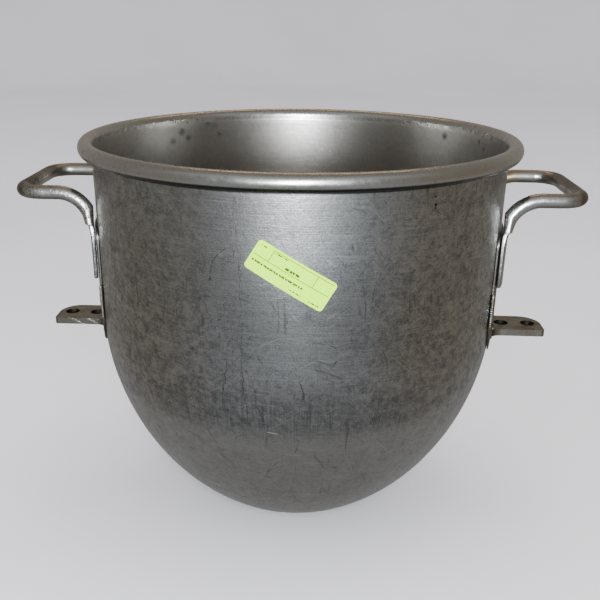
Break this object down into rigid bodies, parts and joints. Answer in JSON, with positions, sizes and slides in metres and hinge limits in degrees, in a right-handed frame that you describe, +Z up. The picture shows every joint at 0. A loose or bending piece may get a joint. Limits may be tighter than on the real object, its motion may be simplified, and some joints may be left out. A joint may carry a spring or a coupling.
{
  "type": "mixing bowl",
  "caption": "Deep round-bottomed steel mixing bowl for a planetary mixer, with a rolled rim, welded rod handles and flat drilled mounting ears at its sides.",
  "frame": {"origin": "on the bowl's axis at the bottom of its foot, where it stands", "axes": "+Z up along the bowl's axis; X runs through both handles and both mounting ears; the labelled front faces -Y"},
  "size_m": [0.5116, 0.4, 0.369],
  "materials": {
    "shell_metal": "worn satin, scratched",
    "wire_metal": "plain drawn wire",
    "rod_metal": "semi-bright, pitted",
    "plate_metal": "dull, stained",
    "ear_metal": "dull, stained",
    "weld_metal": "rough weld bead",
    "label_paper": "matt coloured paper"
  },
  "bodies": {
    "root": {"bowl_shell": "shell_metal", "rim_wire": "wire_metal", "left_mount_plate": "plate_metal", "right_mount_plate": "plate_metal", "left_handle": "rod_metal", "right_handle": "rod_metal", "left_mount_ear": "ear_metal", "right_mount_ear": "ear_metal", "left_plate_weld_front": "weld_metal", "left_plate_weld_rear": "weld_metal", "right_plate_weld_front": "weld_metal", "right_plate_weld_rear": "weld_metal", "left_leg_weld_front": "weld_metal", "left_leg_weld_rear": "weld_metal", "right_leg_weld_front": "weld_metal", "right_leg_weld_rear": "weld_metal", "left_ear_weld_top": "weld_metal", "left_ear_weld_bottom": "weld_metal", "right_ear_weld_top": "weld_metal", "right_ear_weld_bottom": "weld_metal", "lot_label": "label_paper"}
  },
  "joints": []
}
